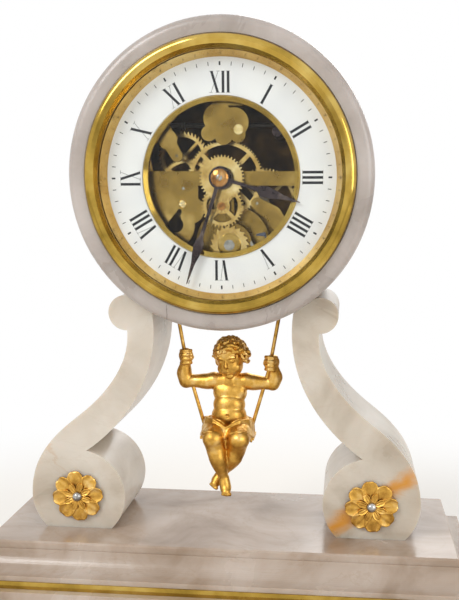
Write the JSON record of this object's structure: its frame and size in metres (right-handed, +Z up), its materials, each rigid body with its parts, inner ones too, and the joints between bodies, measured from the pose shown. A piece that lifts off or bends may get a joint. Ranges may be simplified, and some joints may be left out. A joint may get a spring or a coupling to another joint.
{
  "type": "boudoir clock",
  "caption": "Alabaster boudoir clock: ring drum with an open enamel dial on scrolled legs, with a gilt putto on a swing as its pendulum.",
  "frame": {"origin": "middle of the footprint on the table", "axes": "+Z up, front faces -Y, +X to the right seen from the front"},
  "size_m": [0.206, 0.094, 0.2332],
  "materials": {
    "alabaster": "polished, translucent, softly veined",
    "drum_alabaster": "polished, cool grey white",
    "base_alabaster": "polished, warm grey",
    "polished_brass": "polished",
    "gilt_brass": "gilt, satin",
    "clock_brass": "fine grained, aged",
    "enamel": "glossy white enamel",
    "glass": "clear",
    "blued_steel": "blued, polished",
    "steel": "polished",
    "iron": "plain",
    "spring_steel": "tempered",
    "copper_brass": "polished"
  },
  "bodies": {
    "case": {"base_feet": "polished_brass", "base_slab": "base_alabaster", "brass_band": "polished_brass", "plinth": "base_alabaster", "left_leg": "alabaster", "right_leg": "alabaster", "drum": "drum_alabaster", "left_rosette": "gilt_brass", "right_rosette": "gilt_brass", "rosette_studs": "steel", "tie_bolts": "iron", "tie_nuts": "iron", "drum_dowels": "iron", "bezel": "polished_brass", "bezel_slip": "gilt_brass", "glass": "glass", "dial": "enamel", "dial_inner_ring": "polished_brass", "dial_feet": "clock_brass", "front_plate": "clock_brass", "back_plate": "clock_brass", "pillars": "clock_brass", "pillar_screws": "blued_steel", "click_spring": "spring_steel", "movement_screws": "blued_steel", "minute_stud": "steel", "upper_cock": "clock_brass", "left_cock": "clock_brass", "bridge": "clock_brass", "arbor_brackets": "clock_brass", "bracket_screws": "blued_steel", "back_ring": "polished_brass", "hinge_pin": "steel", "straps": "clock_brass"},
    "centre": {"centre_wheel": "clock_brass", "centre_arbor": "steel", "cannon_pinion": "steel", "minute_hand": "blued_steel", "hand_nut": "copper_brass"},
    "minute_work": {"minute_wheel": "clock_brass"},
    "hour_work": {"hour_wheel": "clock_brass", "hour_hand": "blued_steel"},
    "intermediate": {"intermediate_wheel": "clock_brass", "intermediate_arbor": "steel"},
    "going_barrel": {"barrel": "clock_brass", "barrel_cover": "clock_brass", "mainspring": "spring_steel"},
    "winding": {"barrel_arbor": "steel", "ratchet_wheel": "steel"},
    "click_body": {"click": "steel"},
    "third": {"third_wheel": "clock_brass", "third_arbor": "steel"},
    "escape": {"escape_wheels": "clock_brass", "escape_arbor": "steel"},
    "swing": {"rocking_arbor": "steel", "pallet": "steel", "swing_rods": "gilt_brass", "swing_seat": "gilt_brass", "putto": "gilt_brass"},
    "door": {"back_door": "polished_brass"}
  },
  "joints": [
    {"name": "hands_turn", "type": "hinge", "parent": "case", "child": "centre", "pos_m": [0, 0, 0.1772], "axis": [0, 1, 0], "continuous": true},
    {"name": "minute_wheel_turn", "type": "hinge", "parent": "case", "child": "minute_work", "pos_m": [0, 0, 0.167], "axis": [0, 1, 0], "continuous": true},
    {"name": "hour_hand_turn", "type": "hinge", "parent": "case", "child": "hour_work", "pos_m": [0, 0, 0.1772], "axis": [0, 1, 0], "continuous": true},
    {"name": "intermediate_turn", "type": "hinge", "parent": "case", "child": "intermediate", "pos_m": [0.01284, 0, 0.16808], "axis": [0, 1, 0], "continuous": true},
    {"name": "barrel_turn", "type": "hinge", "parent": "case", "child": "going_barrel", "pos_m": [0.00264, 0, 0.15267], "axis": [0, 1, 0], "continuous": true},
    {"name": "third_turn", "type": "hinge", "parent": "case", "child": "third", "pos_m": [-0.01516, 0, 0.17345], "axis": [0, 1, 0], "continuous": true},
    {"name": "escape_turn", "type": "hinge", "parent": "case", "child": "escape", "pos_m": [-0.01725, 0, 0.1853], "axis": [0, 1, 0], "continuous": true},
    {"name": "winding_turn", "type": "hinge", "parent": "case", "child": "winding", "pos_m": [0.00264, 0, 0.15267], "axis": [0, 1, 0], "continuous": true},
    {"name": "click_lift", "type": "hinge", "parent": "case", "child": "click_body", "pos_m": [0.01404, 0, 0.14947], "axis": [0, 1, 0], "range_deg": [0, 12]},
    {"name": "putto_swing", "type": "hinge", "parent": "case", "child": "swing", "pos_m": [0, 0, 0.1974], "axis": [1, 0, 0], "range_deg": [-6, 6]},
    {"name": "back_door_hinge", "type": "hinge", "parent": "case", "child": "door", "pos_m": [-0.046, 0.0304, 0.1772], "axis": [0, 0, 1], "range_deg": [0, 110]}
  ],
  "couplings": [
    {"joint": "minute_wheel_turn", "follows": "hands_turn", "ratio": -0.33333},
    {"joint": "hour_hand_turn", "follows": "hands_turn", "ratio": 0.083333},
    {"joint": "intermediate_turn", "follows": "hands_turn", "ratio": -0.16667},
    {"joint": "barrel_turn", "follows": "hands_turn", "ratio": 0.027778},
    {"joint": "third_turn", "follows": "hands_turn", "ratio": -10},
    {"joint": "escape_turn", "follows": "hands_turn", "ratio": 133.33}
  ]
}
